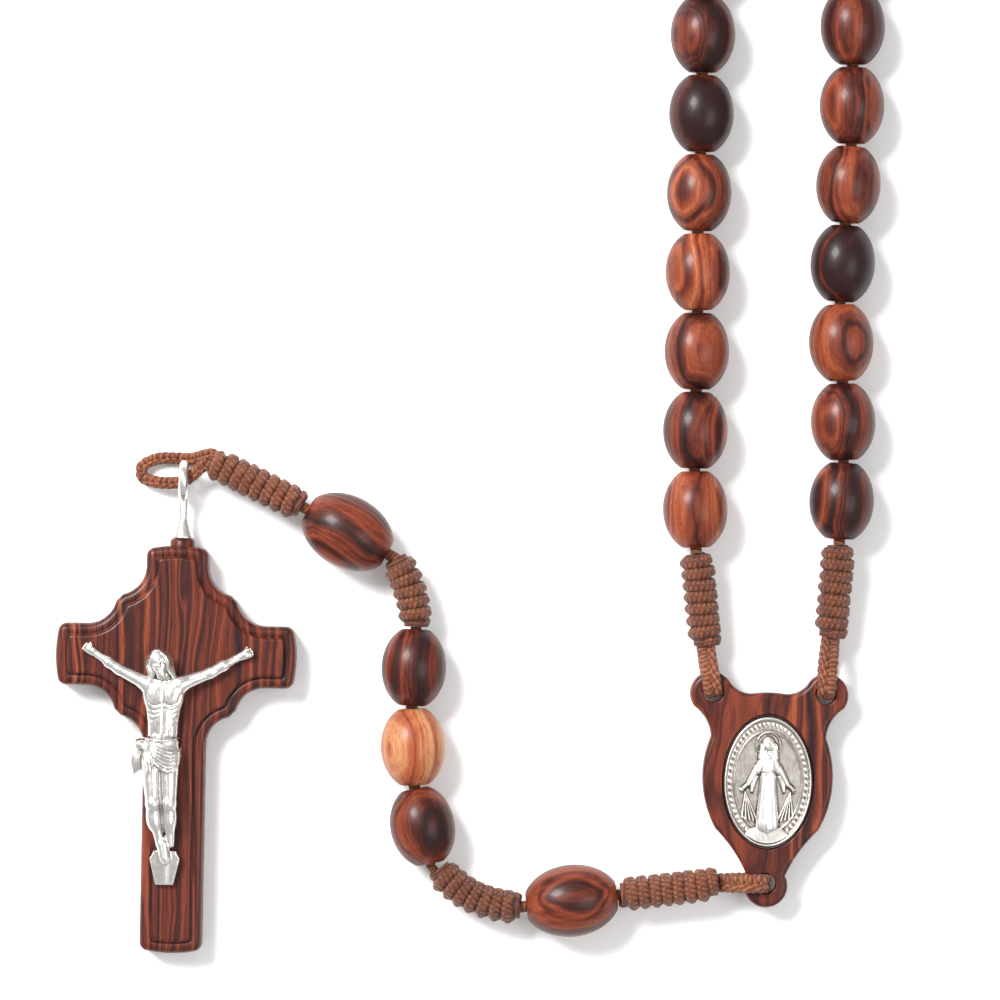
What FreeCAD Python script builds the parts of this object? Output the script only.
"""A corded wooden rosary of five decades, laid out flat.

The beads are turned wood on a waxed cord, kept apart by barrel knots. Three lengths of the
cord meet at a wooden centrepiece with an inlaid medal: two close the big loop and one
carries the short pendant chain, which ends in a wooden crucifix on a screw eye.

Frame: X to the right, Y along the loop, Z up from the table. Every chain is laid out by a
walk: each element starts where the last one ended and has its own heading in degrees,
counted from +X towards +Y.
"""

import FreeCAD, Part
import math
import os

import Sketcher

Vector = FreeCAD.Vector
Rotation = FreeCAD.Rotation
Placement = FreeCAD.Placement

X_AXIS = Vector(1, 0, 0)
Y_AXIS = Vector(0, 1, 0)
Z_AXIS = Vector(0, 0, 1)

# Driving dimensions in millimetres, each with what it measures.
DIMENSIONS = [
    ("small_bead_length", 8.25, "Hail Mary bead along its bore"),
    ("small_bead_radius", 3.5, "Hail Mary bead at its waist"),
    ("large_bead_length", 9.8, "Our Father bead along its bore"),
    ("large_bead_radius", 3.9, "Our Father bead at its waist"),
    ("bead_end_radius", 1.45, "flat ring at each end of a bead"),
    ("bore_radius", 0.85, "bore of every bead"),
    ("cord_radius", 0.6, "waxed cord inside a bead"),
    ("knot_radius", 1.85, "barrel knot"),
    ("knot_round", 0.45, "rounding of a knot's ends"),
    ("knot_length", 10.6, "barrel knot"),
    ("joint_gap", 0.32, "between two pieces that bend against each other"),
    ("crown_gap", 0.52, "the same where the loop curves round its crown"),
    ("kink_gap", 0.8, "between a knot and a bead that meet at a sharp bend"),
    ("snug_gap", 0.1, "between a knot and a bead that share a straight cord"),
    ("easy_gap", 0.44, "between two pieces that meet at a slight bend"),
    ("band_width", 1.7, "braided cord where it passes through a wooden loop"),
    ("band_thickness", 0.95, "the same, through the braid"),
    ("band_gap", 0.1, "between the braid and the wood it wraps"),
    ("centre_thickness", 3.0, "centrepiece"),
    ("centre_lift", 1.1, "centrepiece above the table, held up by the braid"),
    ("lobe_radius", 2.34, "each of the centrepiece's three lobes"),
    ("lobe_hole_radius", 1.09, "hole in each lobe"),
    ("medal_half_width", 4.85, "medal, across"),
    ("medal_half_height", 7.2, "medal, upright"),
    ("medal_thickness", 1.2, "medal"),
    ("medal_rim", 0.55, "raised rim of the medal"),
    ("medal_relief", 0.3, "height of the rim and the figure above the field"),
    ("medal_depth", 0.6, "pocket in the centrepiece"),
    ("medal_gap", 0.06, "glue line round the medal"),
    ("cross_thickness", 4.2, "cross at its moulded edge"),
    ("cross_panel", 0.45, "raised panel on the cross's face"),
    ("cross_panel_inset", 1.35, "panel's edge in from the cross's edge"),
    ("cross_bevel", 0.6, "bevel of the cross's front edge"),
    ("eye_screw_radius", 0.5, "threaded shank of the screw eye"),
    ("eye_screw_length", 5.0, "the same, in the wood"),
    ("eye_wire_radius", 0.55, "wire of the screw eye's ring"),
    ("eye_ring_radius", 1.7, "screw eye's ring, to the middle of the wire"),
    ("pilot_radius", 0.6, "pilot hole for the screw eye"),
    ("nail_head_radius", 0.42, "head of a corpus nail"),
    ("nail_shank_radius", 0.2, "shank of a corpus nail"),
    ("nail_length", 2.2, "shank of a corpus nail"),
    ("face_gap", 0.03, "between the corpus and the wood"),
]

# Where the whole lay sits, so that the middle of its outline is the origin.
LAY_SHIFT = Vector(15.55, -129.33, 0)

# Heights of the cord above the table at each kind of element.
HOLE_HEIGHT = 2.6
SMALL_HEIGHT = 3.5
LARGE_HEIGHT = 3.92

doc = FreeCAD.newDocument("rosary")
sheet = doc.addObject("Spreadsheet::Sheet", "sizes")
for row, (alias, value, meaning) in enumerate(DIMENSIONS, start=1):
    sheet.set(f"A{row}", meaning)
    sheet.set(f"B{row}", str(value))
    sheet.setAlias(f"B{row}", alias)
doc.recompute()


def size(alias):
    return float(sheet.get(alias))


def bind(item, **cells):
    """Ties each named property of item to a formula on the sheet's cells."""
    for name, formula in cells.items():
        item.setExpression(name, formula)


# ---------------------------------------------------------------- the lay of the chains


class Chain:
    """A walk along the cord. Each element is kept as a dictionary with its placement
    (local X along the cord), its length, its turn and the pivot where it begins."""

    def __init__(self, start):
        self.point = start
        self.elements = []

    def add(self, name, kind, length, heading, end_height, turn=0.0, before=0.0, after=0.0):
        """Adds an element of that length and heading, which turns by turn degrees along
        itself and ends at end_height. before and after are its shares of the gaps."""
        rise = end_height - self.point.z
        pitch = math.degrees(math.asin(rise / (length + before + after)))
        tilt = Rotation(Z_AXIS, heading) * Rotation(Y_AXIS, -pitch)
        place = Placement(self.point + tilt.multVec(Vector(before, 0, 0)), tilt)
        end, direction = arc_end(length, turn)
        self.elements.append(
            {
                "name": name,
                "kind": kind,
                "length": length,
                "turn": turn,
                "place": place,
                "pivot": Vector(self.point),
                "heading": heading,
            }
        )
        self.point = place.multVec(end + direction * after)
        self.heading = heading + turn

    def named(self, name):
        return next(e for e in self.elements if e["name"] == name)


def arc_end(length, turn):
    """End point and direction of a cord of that length that leaves along +X and turns
    evenly towards +Y by turn degrees."""
    if abs(turn) < 1e-9:
        return Vector(length, 0, 0), Vector(1, 0, 0)
    angle = math.radians(turn)
    radius = length / angle
    end = Vector(radius * math.sin(angle), radius * (1 - math.cos(angle)), 0)
    return end, Vector(math.cos(angle), math.sin(angle), 0)


SMALL = size("small_bead_length")
LARGE = size("large_bead_length")
KNOT = size("knot_length")
GAP = size("joint_gap") / 2
CROWN = size("crown_gap") / 2
KINK = size("kink_gap") / 2
SNUG = size("snug_gap") / 2
EASY = size("easy_gap") / 2

LOBE_HOLES = {
    "left": Vector(-6.1, 9.55, HOLE_HEIGHT),
    "right": Vector(6.1, 9.55, HOLE_HEIGHT),
    "pendant": Vector(0.0, -11.0, HOLE_HEIGHT),
}

# Each side of the loop as it lies: the braid's length and heading, the first knot's
# heading, and how the first seven beads wander from bead to bead.
SIDES = {
    "left": {"braid": 4.8, "braid_heading": 100, "knot_heading": 97, "mirror": 1},
    "right": {"braid": 5.9, "braid_heading": 86, "knot_heading": 86, "mirror": -1},
}
WANDER = {
    "left": [92, 90, 90, 91, 89, 90, 90],
    "right": [88, 92, 93, 87, 87, 90, 91],
}


def lay_side(side, lean):
    """Lays one half of the loop from its lobe to the crown. Past the seventh bead it
    leans outward by lean degrees, then turns evenly until it points inward."""
    data = SIDES[side]
    outward = data["mirror"]
    chain = Chain(LOBE_HOLES[side])
    braid_end = data["braid"]
    chain.add("cord_loop", "band", braid_end, data["braid_heading"], HOLE_HEIGHT, after=SNUG)
    chain.add("end_knot", "knot", KNOT, data["knot_heading"], SMALL_HEIGHT, after=EASY)
    beads = iter(range(1, 26))

    def decade(headings, gap):
        for heading in headings:
            number = next(beads)
            chain.add(f"hail_mary_{number:02d}", "small", SMALL, heading, SMALL_HEIGHT,
                      before=gap, after=gap)

    straight = 90 + outward * lean
    easing = [90 + outward * lean * share for share in (0.25, 0.5, 0.75)]
    decade(WANDER[side] + easing, GAP)
    large_with_knots(chain, 1, straight, straight, 0.0, GAP)
    decade([straight] * 10, GAP)
    # the crown: nine and a half even turns from the lean to pointing at the other half
    bend = -outward * (90 + lean) / 9.5
    heading = straight + bend
    large_with_knots(chain, 2, heading, heading + 2 * bend, bend, CROWN)
    decade([heading + (4 + step) * bend for step in range(5)], CROWN)
    return chain


def large_with_knots(chain, number, heading, next_heading, turn, gap):
    """Adds a knot, an Our Father bead on the knot's own cord, and a second knot."""
    first = 2 * number - 1
    rise = (LARGE_HEIGHT - SMALL_HEIGHT) * KNOT / (KNOT + LARGE / 2)
    middle = SMALL_HEIGHT + rise
    top = LARGE_HEIGHT + rise / 2
    chain.add(f"knot_{first}", "knot", KNOT, heading, middle, turn, before=gap, after=SNUG)
    chain.add(f"our_father_{number}", "large", LARGE, chain.heading, top,
              before=SNUG, after=gap)
    chain.add(f"knot_{first + 1}", "knot", KNOT, next_heading, SMALL_HEIGHT, turn,
              before=gap, after=gap)


def solved_side(side):
    """The half whose lean makes it end on the loop's middle line."""
    low, high = 2.0, 30.0
    for _ in range(60):
        lean = (low + high) / 2
        chain = lay_side(side, lean)
        beyond = chain.point.x * SIDES[side]["mirror"]
        low, high = (lean, high) if beyond > 0 else (low, lean)
    return chain


def lay_pendant():
    """Lays the pendant chain from the bottom lobe to the crucifix."""
    chain = Chain(LOBE_HOLES["pendant"])
    chain.add("tail_cord_loop", "band", 4.8, 178, HOLE_HEIGHT, after=EASY)
    chain.add("knot_4", "knot", 11.2, 189, 3.7, after=SNUG)
    chain.add("our_father_bead_2", "large", LARGE, 188, 4.0, before=SNUG, after=0.19)
    chain.add("knot_3", "knot", 10.9, 187, SMALL_HEIGHT, turn=-56, before=0.19, after=KINK)
    chain.add("hail_mary_bead_3", "small", SMALL, 103, SMALL_HEIGHT, before=KINK, after=0.21)
    chain.add("hail_mary_bead_2", "small", SMALL, 93, SMALL_HEIGHT, before=0.21, after=0.18)
    chain.add("hail_mary_bead_1", "small", SMALL, 88, SMALL_HEIGHT, before=0.18, after=SNUG)
    chain.add("knot_2", "knot", 8.1, 92, LARGE_HEIGHT, turn=35, before=SNUG, after=KINK)
    chain.add("our_father_bead_1", "large", LARGE, 152, LARGE_HEIGHT, before=KINK, after=EASY)
    chain.add("knot_1", "knot", 11.5, 158, 2.2, before=EASY)
    return chain


left = solved_side("left")
right = solved_side("right")
pendant = lay_pendant()

# The crucifix lies straight, with its screw eye hooked on the pendant's last loop.
CROSS_CENTRE = Vector(-64.3, 12.4, 0)
CROSS_TOP = 11.9
CROSS_BOTTOM = 32.2
CROSS_ARM = 13.0
EYE_PIVOT = Vector(-63.85, 31.35, 2.35)

subparts = []


def keep(item, label, place=None):
    """Registers item as a sub-part and moves it from its own frame to its place."""
    item.Label = label
    place = place or Placement()
    item.Placement = Placement(LAY_SHIFT, Rotation()) * place
    subparts.append(item)
    return item


def origin_plane(body, role):
    return next(f for f in body.Origin.OriginFeatures if f.Role == role)


def new_sketch(body, name, role="XY_Plane", shift=(0, 0, 0)):
    """A sketch on one of the body's own origin planes, moved by shift in the plane's
    own axes, the last of them along its normal."""
    sketch = body.newObject("Sketcher::SketchObject", name)
    sketch.AttachmentSupport = (origin_plane(body, role), [""])
    sketch.MapMode = "FlatFace"
    sketch.AttachmentOffset = Placement(Vector(*shift), Rotation())
    return sketch


def constrain(sketch, formula, *definition):
    """Adds a dimension to the sketch and ties it to a formula on the sheet's cells."""
    number = sketch.addConstraint(Sketcher.Constraint(*definition))
    sketch.setExpression(f"Constraints[{number}]", formula)


# ---------------------------------------------------------------- beads


def bead_body(name, size_word, place):
    """A turned bead: a part of an oval over its length, flat ring ends, bored through."""
    length = size(f"{size_word}_bead_length")
    radius = size(f"{size_word}_bead_radius")
    end = size("bead_end_radius")
    bore = size("bore_radius")
    half = length / 2
    body = doc.addObject("PartDesign::Body", name)
    sketch = new_sketch(body, name + "_profile")
    corners = [Vector(-half, bore, 0), Vector(half, bore, 0), Vector(half, end, 0),
               Vector(-half, end, 0)]
    sketch.addGeometry(Part.LineSegment(corners[0], corners[1]))
    sketch.addGeometry(Part.LineSegment(corners[1], corners[2]))
    oval = Part.Ellipse(Vector(), half / math.sqrt(1 - (end / radius) ** 2), radius)
    first = math.asin(end / radius)
    sketch.addGeometry(Part.ArcOfEllipse(oval, first, math.pi - first))
    sketch.addGeometry(Part.LineSegment(corners[3], corners[0]))
    sketch.addConstraint(Sketcher.Constraint("Coincident", 0, 2, 1, 1))
    sketch.addConstraint(Sketcher.Constraint("Coincident", 1, 2, 2, 1))
    sketch.addConstraint(Sketcher.Constraint("Coincident", 2, 2, 3, 1))
    sketch.addConstraint(Sketcher.Constraint("Coincident", 3, 2, 0, 1))
    sketch.addConstraint(Sketcher.Constraint("Vertical", 1))
    sketch.addConstraint(Sketcher.Constraint("Vertical", 3))
    sketch.addConstraint(Sketcher.Constraint("Symmetric", 0, 1, 0, 2, -2))
    constrain(sketch, f"sizes.{size_word}_bead_length", "DistanceX", 0, 1, 0, 2, length)
    constrain(sketch, "sizes.bore_radius", "DistanceY", -1, 1, 0, 1, bore)
    constrain(sketch, "sizes.bead_end_radius", "DistanceY", -1, 1, 1, 2, end)
    constrain(sketch, "sizes.bead_end_radius", "DistanceY", -1, 1, 3, 1, end)
    sketch.addConstraint(Sketcher.Constraint("Coincident", 2, 3, -1, 1))
    turned = body.newObject("PartDesign::Revolution", name + "_turned")
    turned.Profile = sketch
    turned.ReferenceAxis = (sketch, ["H_Axis"])
    turned.Angle = 360
    sketch.Visibility = False
    body.Placement = place
    return body


def middle_of(element):
    return element["place"] * Placement(Vector(element["length"] / 2, 0, 0), Rotation())


def single_bead(chain, name, label):
    element = chain.named(name)
    keep(bead_body(label, element["kind"], Placement()), label, middle_of(element))


def bead_group(chain, side, numbers):
    """Neighbouring Hail Mary beads that move as one, each of them its own solid."""
    label = f"{side}_hail_marys_" + "_".join(f"{n:02d}" for n in numbers)
    bodies = []
    for number in numbers:
        element = chain.named(f"hail_mary_{number:02d}")
        body = bead_body(f"{side}_hail_mary_{number:02d}", "small", middle_of(element))
        bodies.append(body)
    group = doc.addObject("Part::Compound", label)
    group.Links = bodies
    keep(group, label)


# ---------------------------------------------------------------- knots and cords

ALONG_X = Rotation(Y_AXIS, 90)


def knot_core(name, element):
    """The wound barrel from the local origin along +X, rounded at both ends."""
    length = element["length"]
    turn = element["turn"]
    if turn:
        core = doc.addObject("Part::Torus", name + "_wound")
        core.Radius1 = abs(length / math.radians(turn))
        core.Angle3 = abs(turn)
        bind(core, Radius2="sizes.knot_radius")
        flip = Rotation(X_AXIS, 180 if turn < 0 else 0)
        start = Placement(Vector(0, core.Radius1.Value, 0), Rotation(Z_AXIS, -90))
        core.Placement = Placement(Vector(), flip) * start
    else:
        core = doc.addObject("Part::Cylinder", name + "_wound")
        core.Height = length
        bind(core, Radius="sizes.knot_radius")
        core.Placement = Placement(Vector(), ALONG_X)
    doc.recompute()
    around = 2 * math.pi * size("knot_radius")
    ends = [n for n, edge in enumerate(core.Shape.Edges, start=1)
            if abs(edge.Length - around) < 1e-3 and edge.isClosed()]
    rounded = doc.addObject("Part::Fillet", name + "_rounded")
    rounded.Base = core
    rounded.Edges = [(n, size("knot_round"), size("knot_round")) for n in ends]
    return rounded


def cord_stub(name, start, heading, length):
    """A straight run of cord, in the frame of the knot that it comes out of."""
    stub = doc.addObject("Part::Cylinder", name)
    stub.Height = length
    bind(stub, Radius="sizes.cord_radius")
    stub.Placement = Placement(start, Rotation(Z_AXIS, heading) * ALONG_X)
    return stub


def knot(label, element, bead_after=None, bead_before=None):
    """A barrel knot, with the straight cord through the bead that spins next to it."""
    pieces = [knot_core(label, element)]
    inside = Placement(element["place"]).inverse()
    inset = 1.0  # how far the cord reaches into the knot
    for name, bead, sign in (("_ahead", bead_after, 1), ("_behind", bead_before, -1)):
        if bead is None:
            continue
        far_x = bead["length"] if sign > 0 else 0.0
        near_x = bead["length"] - far_x
        far = inside.multVec(bead["place"].multVec(Vector(far_x, 0, 0)))
        near = inside.multVec(bead["place"].multVec(Vector(near_x, 0, 0)))
        along = (far - near).normalize()
        gap_side = KINK if sign > 0 or bead["kind"] == "large" else SNUG
        start = near - along * (gap_side + inset)
        stub = doc.addObject("Part::Cylinder", label + name)
        stub.Height = (far - start).Length
        bind(stub, Radius="sizes.cord_radius")
        stub.Placement = Placement(start, Rotation(Z_AXIS, along))
        pieces.append(stub)
    if len(pieces) == 1:
        keep(pieces[0], label, element["place"])
        return
    joined = doc.addObject("Part::MultiFuse", label)
    joined.Shapes = pieces
    keep(joined, label, element["place"])


def cord_loop(label, element):
    """The braid that passes through a lobe's hole: a flat band wrapped over and under
    the wood, closed where it enters the knot. Local X is the heading, local Z is up."""
    thick = size("band_thickness")
    length = element["length"]
    inner = size("centre_thickness") / 2 + size("band_gap")
    outer = inner + thick
    centre = length - outer
    corner = 0.45
    body = doc.addObject("PartDesign::Body", label)
    sketch = new_sketch(body, label + "_side", "XZ_Plane", (0, 0, -size("band_width") / 2))
    for reach, half, rounding in ((-thick / 2, outer, corner + thick / 2), (thick / 2, inner, 0.2)):
        top = Vector(centre, half, 0)
        bottom = Vector(centre, -half, 0)
        tip = Vector(centre + half, 0, 0)
        turn = rounding * (1 - math.sqrt(0.5))
        sketch.addGeometry(Part.Arc(bottom, tip, top))
        sketch.addGeometry(Part.LineSegment(top, Vector(reach + rounding, half, 0)))
        sketch.addGeometry(Part.Arc(Vector(reach + rounding, half, 0),
                                    Vector(reach + turn, half - turn, 0),
                                    Vector(reach, half - rounding, 0)))
        sketch.addGeometry(Part.LineSegment(Vector(reach, half - rounding, 0),
                                            Vector(reach, rounding - half, 0)))
        sketch.addGeometry(Part.Arc(Vector(reach, rounding - half, 0),
                                    Vector(reach + turn, turn - half, 0),
                                    Vector(reach + rounding, -half, 0)))
        sketch.addGeometry(Part.LineSegment(Vector(reach + rounding, -half, 0), bottom))
    pad = body.newObject("PartDesign::Pad", label + "_band")
    pad.Profile = sketch
    bind(pad, Length="sizes.band_width")
    sketch.Visibility = False
    keep(body, label, element["place"])


def tube(points, radius):
    """A round cord along straight runs between the points, mitred where it bends."""
    corners = [points[0]]
    for before, point, after in zip(points, points[1:], points[2:]):
        if (point - before).getAngle(after - point) > 1e-3:
            corners.append(point)
    corners.append(points[-1])
    ring = Part.Wire([Part.makeCircle(radius, corners[0], corners[1] - corners[0])])
    return Part.makePolygon(corners).makePipeShell([ring], True, False, 1)


def strand_cord(chain, side):
    """The cord through the three runs of beads on one side, open at the crown."""
    clear = 0.05
    solids = []
    for first, last in ((1, 10), (11, 20), (21, 25)):
        run = [chain.named(f"hail_mary_{n:02d}") for n in range(first, last + 1)]
        lead = (run[0]["place"].Base - run[0]["pivot"]).Length * 2 - clear
        points = [run[0]["place"].multVec(Vector(-lead, 0, 0))]
        points += [element["pivot"] for element in run[1:]]
        points.append(run[-1]["place"].multVec(Vector(run[-1]["length"] - clear, 0, 0)))
        solids.append(tube(points, size("cord_radius")))
    cord = doc.addObject("Part::Feature", f"{side}_strand_cord")
    cord.Shape = Part.Compound(solids)
    keep(cord, f"{side}_strand_cord")


def pendant_cord(label, element):
    """The cord through the middle one of the pendant's three small beads."""
    cord = cord_stub(label, Vector(), 0, element["length"])
    keep(cord, label, element["place"] * cord.Placement)


def crucifix_cord_loop(label, element):
    """The hairpin of cord at the end of the pendant. One side runs through the screw
    eye, the other dips under the eye's tip."""
    end, _ = arc_end(element["length"], 0)
    face = element["place"].multVec(end + Vector(0.45, 0, 0))
    aside = element["place"].Rotation.multVec(Vector(0, 0.62, 0))
    through = EYE_PIVOT
    offsets = [(0, 0, 0), (-2.6, -0.25, -0.5), (-4.55, 0.35, -1.15), (-4.6, 1.5, -1.5),
               (-2.9, 2.35, -1.65), (-0.8, 2.42, -1.7), (0.8, 2.42, -1.62)]
    points = [face + aside] + [through + Vector(*offset) for offset in offsets]
    points.append(face - aside)
    cord = doc.addObject("Part::Feature", label)
    cord.Shape = tube(points, size("cord_radius"))
    keep(cord, label)


# ---------------------------------------------------------------- centrepiece and medal


def on_circle(centre, radius, degrees):
    angle = math.radians(degrees)
    return centre + Vector(radius * math.cos(angle), radius * math.sin(angle), 0)


def mirrored(points):
    return [Vector(-p.x, p.y, p.z) for p in points]


def centre_half():
    """Arcs of the outline's right half, as (start, through, end), from the top middle
    to the bottom middle."""
    radius = size("lobe_radius")
    lobe = Vector(6.22, 9.44, 0)
    foot = Vector(0, -11.27, 0)
    top = Vector(0, 9.64, 0)
    crest = Vector(1.74, 9.5, 0)
    lobe_in = on_circle(lobe, radius, 152)
    lobe_out = on_circle(lobe, radius, -38)
    neck = Vector(6.22, 4.8, 0)
    hip = Vector(5.55, -5.2, 0)
    foot_in = on_circle(foot, radius, 28)
    return [
        (top, Vector(0.9, 9.6, 0), crest),
        (crest, Vector(3.1, 9.72, 0), lobe_in),
        (lobe_in, on_circle(lobe, radius, 60), lobe_out),
        (lobe_out, Vector(6.6, 6.3, 0), neck),
        (neck, Vector(7.05, 0.3, 0), hip),
        (hip, Vector(3.05, -8.3, 0), foot_in),
        (foot_in, on_circle(foot, radius, -31), foot - Vector(0, radius, 0)),
    ]


def centrepiece():
    """The three-lobed wooden link, with a hole in each lobe and a pocket for the medal."""
    body = doc.addObject("PartDesign::Body", "centrepiece")
    lift = size("centre_lift")
    outline = new_sketch(body, "centre_outline", shift=(0, 0, lift))
    half = centre_half()
    for start, through, end in half:
        outline.addGeometry(Part.Arc(start, through, end))
    for start, through, end in half:
        start, through, end = mirrored((start, through, end))
        outline.addGeometry(Part.Arc(start, through, end))
    plate = body.newObject("PartDesign::Pad", "centre_plate")
    plate.Profile = outline
    bind(plate, Length="sizes.centre_thickness")
    doc.recompute()
    top = lift + size("centre_thickness")
    holes = new_sketch(body, "centre_holes", shift=(0, 0, lift))
    for number, hole in enumerate(LOBE_HOLES.values()):
        spot = Vector(hole.x, hole.y, 0)
        holes.addGeometry(Part.Circle(spot, Z_AXIS, size("lobe_hole_radius")))
        constrain(holes, "sizes.lobe_hole_radius", "Radius", number, size("lobe_hole_radius"))
    drilled = body.newObject("PartDesign::Pocket", "centre_drilled")
    drilled.Profile = holes
    drilled.Reversed = True
    bind(drilled, Length="sizes.centre_thickness")
    seat = new_sketch(body, "medal_seat_outline", shift=(0, 0, top))
    gap = size("medal_gap")
    seat.addGeometry(ellipse(size("medal_half_width") + gap, size("medal_half_height") + gap))
    pocket = body.newObject("PartDesign::Pocket", "medal_seat")
    pocket.Profile = seat
    bind(pocket, Length="sizes.medal_depth")
    keep(body, "centrepiece")


def ellipse(half_width, half_height):
    """An upright ellipse round the origin."""
    return Part.Ellipse(Vector(0, half_height, 0), Vector(half_width, 0, 0), Vector())


def medal():
    """The oval medal: a field with a raised rim and a plain raised figure on a globe."""
    body = doc.addObject("PartDesign::Body", "medal")
    floor = size("centre_lift") + size("centre_thickness") - size("medal_depth") + 0.02
    half_width = size("medal_half_width")
    half_height = size("medal_half_height")
    field_top = floor + size("medal_thickness") - size("medal_relief")
    blank_outline = new_sketch(body, "medal_outline", shift=(0, 0, floor))
    blank_outline.addGeometry(ellipse(half_width, half_height))
    blank = body.newObject("PartDesign::Pad", "medal_blank")
    blank.Profile = blank_outline
    bind(blank, Length="sizes.medal_thickness")
    rim = size("medal_rim")
    field_outline = new_sketch(body, "medal_field_outline", shift=(0, 0, field_top))
    field_outline.addGeometry(ellipse(half_width - rim, half_height - rim))
    field = body.newObject("PartDesign::Pocket", "medal_field")
    field.Profile = field_outline
    field.Reversed = True
    bind(field, Length="sizes.medal_relief")
    figure_outline = new_sketch(body, "medal_figure_outline", shift=(0, 0, field_top))
    figure_outline.addGeometry(Part.Circle(Vector(0, 3.55, 0), Z_AXIS, 0.75))
    figure_outline.addGeometry(Part.Circle(Vector(0, -4.3, 0), Z_AXIS, 1.1))
    robe = [Vector(-0.55, 2.6, 0), Vector(0.55, 2.6, 0), Vector(1.5, -2.9, 0),
            Vector(-1.5, -2.9, 0)]
    for start, end in zip(robe, robe[1:] + robe[:1]):
        figure_outline.addGeometry(Part.LineSegment(start, end))
    figure = body.newObject("PartDesign::Pad", "medal_figure")
    figure.Profile = figure_outline
    bind(figure, Length="sizes.medal_relief * 0.8")
    keep(body, "medal")


# ---------------------------------------------------------------- crucifix


def cross_outline(sketch, inset):
    """The cross's outline, moved in by inset: straight ends a little convex, and in each
    corner two scooped arcs that meet a slanting facet."""
    half = 3.35 - inset
    scoop = 3.23 + inset
    far = 9.7
    near = 6.58
    facet_sum = 12.4 - inset * math.sqrt(2)
    from_facet = (far + near - facet_sum) / math.sqrt(2)
    along_facet = math.sqrt(scoop**2 - from_facet**2) / math.sqrt(2)
    foot = (near - from_facet / math.sqrt(2), far - from_facet / math.sqrt(2))
    knee = (foot[0] + along_facet, foot[1] - along_facet)
    angle_end = math.atan2(knee[1] - far, knee[0] - near) % (2 * math.pi)
    angle = (math.pi + angle_end) / 2
    through = (near + scoop * math.cos(angle), far + scoop * math.sin(angle))
    corner = max(0.9 - inset, 0.3)
    end_radius = 14.0 - inset
    lean = math.asin((half - corner) / (end_radius - corner))
    drop = end_radius - (end_radius - corner) * math.cos(lean)
    halfway = (math.pi / 2 - lean) / 2

    def rounded_end(to_sketch, tip):
        """Half of an arm's convex end and its corner, as arcs that meet smoothly. The
        arm points along +y in (x, y), and to_sketch turns such a point to the arm."""
        level = tip - drop
        start = (half, level)
        meet = (end_radius * math.sin(lean), tip - end_radius * (1 - math.cos(lean)))
        bend = (half - corner + corner * math.cos(halfway), level + corner * math.sin(halfway))
        sketch.addGeometry(Part.Arc(to_sketch(*start), to_sketch(*bend), to_sketch(*meet)))
        mid = (end_radius * math.sin(lean / 2), tip - end_radius * (1 - math.cos(lean / 2)))
        sketch.addGeometry(Part.Arc(to_sketch(*meet), to_sketch(*mid), to_sketch(0, tip)))
        return level

    for sign_x, sign_y in ((1, 1), (1, -1), (-1, -1), (-1, 1)):

        def upright(x, y):
            return Vector(sign_x * x, sign_y * y, 0)

        def sideways(x, y):
            return Vector(sign_x * y, sign_y * x, 0)

        tip = (CROSS_TOP if sign_y > 0 else CROSS_BOTTOM) - inset
        level = rounded_end(upright, tip)
        sketch.addGeometry(Part.LineSegment(upright(half, level), upright(half, far)))
        sketch.addGeometry(Part.Arc(upright(half, far), upright(*through), upright(*knee)))
        sketch.addGeometry(Part.LineSegment(upright(*knee), sideways(*knee)))
        sketch.addGeometry(Part.Arc(sideways(*knee), sideways(*through), sideways(half, far)))
        level = rounded_end(sideways, CROSS_ARM - inset)
        sketch.addGeometry(Part.LineSegment(sideways(half, far), sideways(half, level)))


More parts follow.
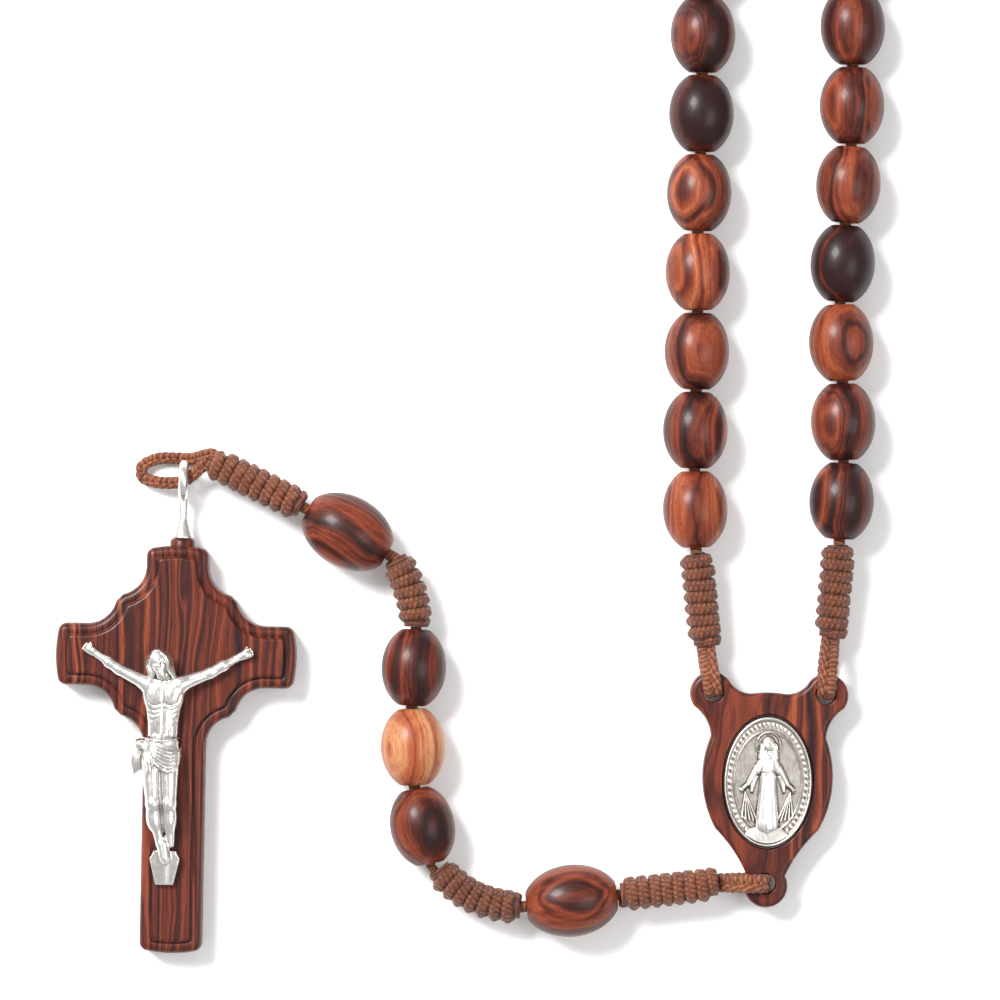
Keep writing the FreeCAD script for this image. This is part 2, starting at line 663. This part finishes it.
def cross():
    """The wooden cross: a plate with a bevelled front edge, a raised panel that follows
    the outline, a small boss on top and the pilot hole for the screw eye."""
    body = doc.addObject("PartDesign::Body", "cross")
    outline = new_sketch(body, "cross_outline")
    cross_outline(outline, 0.0)
    plate = body.newObject("PartDesign::Pad", "cross_plate")
    plate.Profile = outline
    bind(plate, Length="sizes.cross_thickness")
    doc.recompute()
    top = size("cross_thickness")
    front = next(f"Face{n}" for n, face in enumerate(plate.Shape.Faces, start=1)
                 if face.BoundBox.ZMin > top - 1e-6)
    bevelled = body.newObject("PartDesign::Chamfer", "cross_bevelled")
    bevelled.Base = (plate, [front])
    bind(bevelled, Size="sizes.cross_bevel")
    doc.recompute()
    panel_outline = new_sketch(body, "cross_panel_outline", shift=(0, 0, top - 0.2))
    cross_outline(panel_outline, size("cross_panel_inset"))
    panel = body.newObject("PartDesign::Pad", "cross_panel")
    panel.Profile = panel_outline
    bind(panel, Length="sizes.cross_panel + 0.2")
    offset = EYE_PIVOT - CROSS_CENTRE
    boss_outline = new_sketch(body, "boss_outline", "XZ_Plane", (0, 0, -CROSS_TOP + 0.6))
    boss_outline.addGeometry(Part.Circle(Vector(offset.x, offset.z, 0), Z_AXIS, 1.35))
    boss = body.newObject("PartDesign::Pad", "screw_boss")
    boss.Profile = boss_outline
    boss.Length = 1.4
    boss.Reversed = True
    doc.recompute()
    pilot_outline = new_sketch(body, "pilot_outline", "XZ_Plane", (0, 0, -CROSS_TOP - 0.9))
    pilot_outline.addGeometry(Part.Circle(Vector(offset.x, offset.z, 0), Z_AXIS,
                                          size("pilot_radius")))
    constrain(pilot_outline, "sizes.pilot_radius", "Radius", 0, size("pilot_radius"))
    pilot = body.newObject("PartDesign::Pocket", "pilot_hole")
    pilot.Profile = pilot_outline
    pilot.Reversed = True
    bind(pilot, Length="sizes.eye_screw_length + 2")
    doc.recompute()
    nails = new_sketch(body, "nail_hole_outline", shift=(0, 0, FACE_HEIGHT))
    for number, (x, y) in enumerate(NAIL_SPOTS):
        nails.addGeometry(Part.Circle(Vector(x, y, 0), Z_AXIS, size("nail_shank_radius") + 0.05))
        constrain(nails, "sizes.nail_shank_radius + 0.05", "Radius", number,
                  size("nail_shank_radius") + 0.05)
    nail_holes = body.newObject("PartDesign::Pocket", "nail_holes")
    nail_holes.Profile = nails
    bind(nail_holes, Length="sizes.nail_length")
    keep(body, "cross", Placement(CROSS_CENTRE, Rotation()))


FACE_HEIGHT = size("cross_thickness") + size("cross_panel")
NAIL_SPOTS = [(-9.15, 0.55), (7.6, 0.3), (-0.7, -21.2)]
HAND_TOP = FACE_HEIGHT + 1.0
FOOT_TOP = FACE_HEIGHT + 1.3


def screw_eye():
    """The plated screw eye: a ring in the upright plane, its neck, a collar that sits on
    the wood and the screw. Local origin at the ring's middle, local -Y down the neck."""
    ring = doc.addObject("Part::Torus", "eye_ring")
    bind(ring, Radius1="sizes.eye_ring_radius", Radius2="sizes.eye_wire_radius")
    ring.Placement = Placement(Vector(), ALONG_X)
    down = Rotation(X_AXIS, 90)
    cross_top = EYE_PIVOT.y - CROSS_CENTRE.y - CROSS_TOP
    neck = doc.addObject("Part::Cylinder", "eye_neck")
    neck.Height = cross_top - size("eye_ring_radius")
    bind(neck, Radius="sizes.eye_screw_radius")
    neck.Placement = Placement(Vector(0, -size("eye_ring_radius"), 0), down)
    collar = doc.addObject("Part::Cone", "eye_collar")
    collar.Radius1 = 0.75
    collar.Radius2 = 1.23
    collar.Height = 1.4
    collar.Placement = Placement(Vector(0, 2.27 - cross_top, 0), down)
    screw = doc.addObject("Part::Cylinder", "eye_screw")
    bind(screw, Radius="sizes.eye_screw_radius", Height="sizes.eye_screw_length + 0.9")
    screw.Placement = Placement(Vector(0, 0.9 - cross_top, 0), down)
    eye = doc.addObject("Part::MultiFuse", "screw_eye")
    eye.Shapes = [ring, neck, collar, screw]
    keep(eye, "screw_eye", Placement(EYE_PIVOT, Rotation()))


def rod(name, start, end, start_radius, end_radius):
    """A tapered limb between two points."""
    along = end - start
    piece = doc.addObject("Part::Cone", name)
    piece.Radius1 = start_radius
    piece.Radius2 = end_radius
    piece.Height = along.Length
    piece.Placement = Placement(start, Rotation(Z_AXIS, along))
    return piece


def blob(name, centre, half_x, half_y, half_z):
    """A rounded mass, as an ellipsoid with those half sizes."""
    piece = doc.addObject("Part::Ellipsoid", name)
    piece.Radius1 = half_z
    piece.Radius2 = half_x
    piece.Radius3 = half_y
    piece.Placement = Placement(centre, Rotation())
    return piece


def corpus():
    """The cast figure in plain masses: head, chest, cloth, arms, legs and foot plate,
    flat at the back where it meets the cross. Local origin at the cross's middle."""
    level = FACE_HEIGHT
    masses = [
        blob("head", Vector(-1.65, -0.6, level + 1.5), 1.45, 1.75, 1.4),
        blob("chest", Vector(-1.25, -4.3, level + 0.9), 2.1, 3.6, 1.25),
        blob("belly", Vector(-1.2, -7.5, level + 0.8), 1.75, 3.0, 1.1),
        blob("cloth", Vector(-1.5, -10.7, level + 1.0), 2.45, 2.4, 1.35),
        blob("cloth_knot", Vector(-4.0, -11.3, level + 0.8), 0.6, 1.8, 0.8),
        rod("arm_one", Vector(-2.4, -3.0, level + 0.8), Vector(-9.3, 0.6, level + 0.5), 0.95, 0.5),
        rod("arm_two", Vector(-0.3, -3.0, level + 0.8), Vector(7.5, 0.3, level + 0.5), 0.95, 0.5),
        rod("leg_one", Vector(-2.3, -11.5, level + 1.0), Vector(-1.0, -20.4, level + 0.9), 1.3, 0.7),
        rod("leg_two", Vector(-0.5, -11.5, level + 1.0), Vector(-0.4, -20.4, level + 0.9), 1.3, 0.7),
        blob("foot_plate", Vector(-0.7, -22.4, level + 0.6), 1.25, 2.4, 0.8),
    ]
    for name, (x, y) in zip(("hand_one", "hand_two"), NAIL_SPOTS):
        masses.append(blob(name, Vector(x, y, level + 0.45), 0.75, 0.75, 0.5))
    figure = doc.addObject("Part::MultiFuse", "figure")
    figure.Shapes = masses
    keep_box = doc.addObject("Part::Box", "above_the_wood")
    keep_box.Length = 30
    keep_box.Width = 50
    keep_box.Height = 10
    keep_box.Placement = Placement(Vector(-15, -35, level + size("face_gap")), Rotation())
    flat_back = doc.addObject("Part::Common", "corpus_flat_back")
    flat_back.Base = figure
    flat_back.Tool = keep_box
    shanks = doc.addObject("Part::MultiFuse", "nail_clearance")
    shanks.Shapes = [nail_piece(f"clearance_{n}", n, size("nail_shank_radius") + 0.05,
                                size("nail_head_radius") + 0.05, 6.0)
                     for n in range(3)]
    body = doc.addObject("Part::Cut", "corpus")
    body.Base = flat_back
    body.Tool = shanks
    keep(body, "corpus", Placement(CROSS_CENTRE, Rotation()))


def nail_piece(name, number, shank_radius, head_radius, head_height):
    """One nail, or the room for one: a shank into the wood and a head on the figure."""
    x, y = NAIL_SPOTS[number]
    head_level = (HAND_TOP if number < 2 else FOOT_TOP) - 0.35
    shank = doc.addObject("Part::Cylinder", name + "_shank")
    shank.Radius = shank_radius
    shank.Height = head_level - FACE_HEIGHT + 1.5
    shank.Placement = Placement(Vector(x, y, FACE_HEIGHT - 1.5), Rotation())
    head = doc.addObject("Part::Cylinder", name + "_head")
    head.Radius = head_radius
    head.Height = head_height
    head.Placement = Placement(Vector(x, y, head_level), Rotation())
    nail = doc.addObject("Part::Fuse", name)
    nail.Base = shank
    nail.Tool = head
    return nail


def corpus_nails():
    group = doc.addObject("Part::Compound", "corpus_nails")
    group.Links = [nail_piece(f"nail_{n}", n, size("nail_shank_radius"),
                              size("nail_head_radius"), 0.35) for n in range(3)]
    keep(group, "corpus_nails", Placement(CROSS_CENTRE, Rotation()))


# ---------------------------------------------------------------- the whole rosary


def build_side(chain, side):
    cord_loop(f"{side}_cord_loop", chain.named("cord_loop"))
    knot(f"{side}_end_knot", chain.named("end_knot"))
    for first in range(1, 21, 2):
        bead_group(chain, side, (first, first + 1))
    bead_group(chain, side, (21, 22))
    bead_group(chain, side, (23, 24, 25))
    for number in (1, 2):
        bead = chain.named(f"our_father_{number}")
        single_bead(chain, bead["name"], f"{side}_our_father_{number}")
        knot(f"{side}_knot_{2 * number - 1}", chain.named(f"knot_{2 * number - 1}"), bead)
        knot(f"{side}_knot_{2 * number}", chain.named(f"knot_{2 * number}"))
    strand_cord(chain, side)


def build_pendant(chain):
    cord_loop("tail_cord_loop", chain.named("tail_cord_loop"))
    for name in ("our_father_bead_1", "our_father_bead_2", "hail_mary_bead_1",
                 "hail_mary_bead_2", "hail_mary_bead_3"):
        single_bead(chain, name, name)
    knot("knot_4", chain.named("knot_4"), bead_after=chain.named("our_father_bead_2"))
    knot("knot_3", chain.named("knot_3"), bead_after=chain.named("hail_mary_bead_3"))
    knot("knot_2", chain.named("knot_2"), bead_before=chain.named("hail_mary_bead_1"))
    knot("knot_1", chain.named("knot_1"), bead_before=chain.named("our_father_bead_1"))
    pendant_cord("pendant_cord", chain.named("hail_mary_bead_2"))
    crucifix_cord_loop("crucifix_cord_loop", chain.named("knot_1"))


def check_and_export():
    doc.recompute()
    for item in doc.Objects:
        if "Invalid" in item.State or "Error" in item.State:
            raise RuntimeError(f"{item.Label} did not compute: {item.State}")
    for item in subparts:
        if item.Shape.isNull() or not item.Shape.isValid():
            raise RuntimeError(f"{item.Label} has no valid shape")
    os.makedirs("parts", exist_ok=True)
    for item in subparts:
        item.Shape.exportStep(f"parts/{item.Label}.step")


cross()
corpus()
corpus_nails()
screw_eye()
build_pendant(pendant)
centrepiece()
medal()
build_side(left, "left")
build_side(right, "right")
check_and_export()
